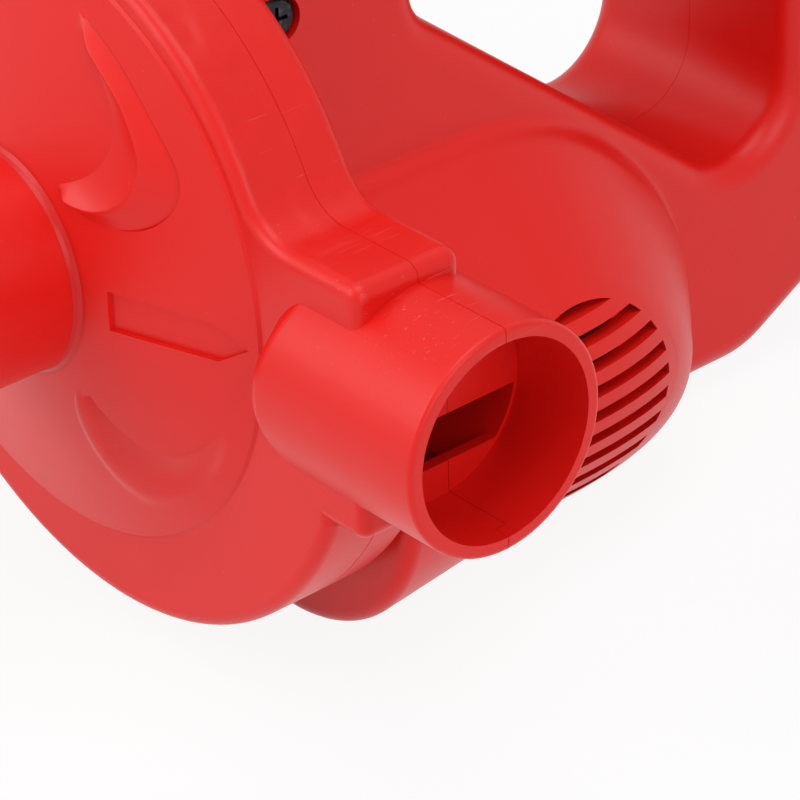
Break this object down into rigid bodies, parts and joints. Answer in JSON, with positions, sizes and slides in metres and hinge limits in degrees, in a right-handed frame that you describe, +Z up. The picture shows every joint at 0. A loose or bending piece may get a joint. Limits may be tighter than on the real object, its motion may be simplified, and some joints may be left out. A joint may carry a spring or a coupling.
{
  "type": "hand-held blower",
  "caption": "Hand-held two-way electric blower with a flat scroll housing, round inlet and outlet pipes, a finger opening and vented motor body.",
  "frame": {"origin": "middle of the bounding box in plan, in the plane of the flat bottom it stands on", "axes": "+Z up, +X out of the outlet pipe, -Y out of the inlet pipe, handle towards +Y"},
  "size_m": [0.1517, 0.212, 0.1406],
  "materials": {
    "red_shell": "smooth moulded, faint scuffs",
    "vent_impeller": "moulded",
    "bright_steel": "plated",
    "dark_steel": "blackened",
    "motor_steel": "zinc plated",
    "black_plastic": "moulded",
    "bearing_steel": "ground",
    "bronze": "sintered",
    "ferrite": "sintered",
    "core_steel": "laminated",
    "copper_wire": "enamelled",
    "copper_bars": "turned",
    "brass_sheet": "folded",
    "carbon": "pressed carbon",
    "felt": "pressed felt",
    "black_rubber": "moulded",
    "circuit_board": "coated",
    "capacitor_case": "potted box"
  },
  "bodies": {
    "housing": {"front_scroll_shell": "red_shell", "rear_scroll_shell": "red_shell", "scroll_screws": "bright_steel", "right_body_shell": "red_shell", "left_body_shell": "red_shell", "body_screws": "dark_steel", "motor_can": "motor_steel", "motor_end_bell": "black_plastic", "front_bearing": "bearing_steel", "rear_bush": "bronze", "field_magnets": "ferrite", "brush_holders": "brass_sheet", "carbon_brushes": "carbon", "brush_springs": "bright_steel", "motor_pad": "felt", "motor_screws": "bright_steel", "motor_ring": "black_rubber", "motor_terminals": "brass_sheet", "rectifier_board": "circuit_board", "capacitor": "capacitor_case", "switch_housing": "black_plastic", "cord_bush": "black_rubber"},
    "rotor": {"impeller": "vent_impeller", "fan_washer": "bright_steel", "fan_nut": "bright_steel", "rotor_shaft": "bearing_steel", "armature_core": "core_steel", "armature_windings": "copper_wire", "commutator": "copper_bars", "cooling_fan": "black_plastic"},
    "rocker": {"switch_rocker": "black_plastic"}
  },
  "joints": [
    {"name": "rotor_spin", "type": "hinge", "parent": "housing", "child": "rotor", "pos_m": [-0.01761, -0.046, 0.069], "axis": [0, 1, 0], "continuous": true},
    {"name": "rocker_tilt", "type": "hinge", "parent": "housing", "child": "rocker", "pos_m": [-0.01761, -0.01372, 0.13485], "axis": [1, 0, 0], "range_deg": [0, 18]}
  ]
}
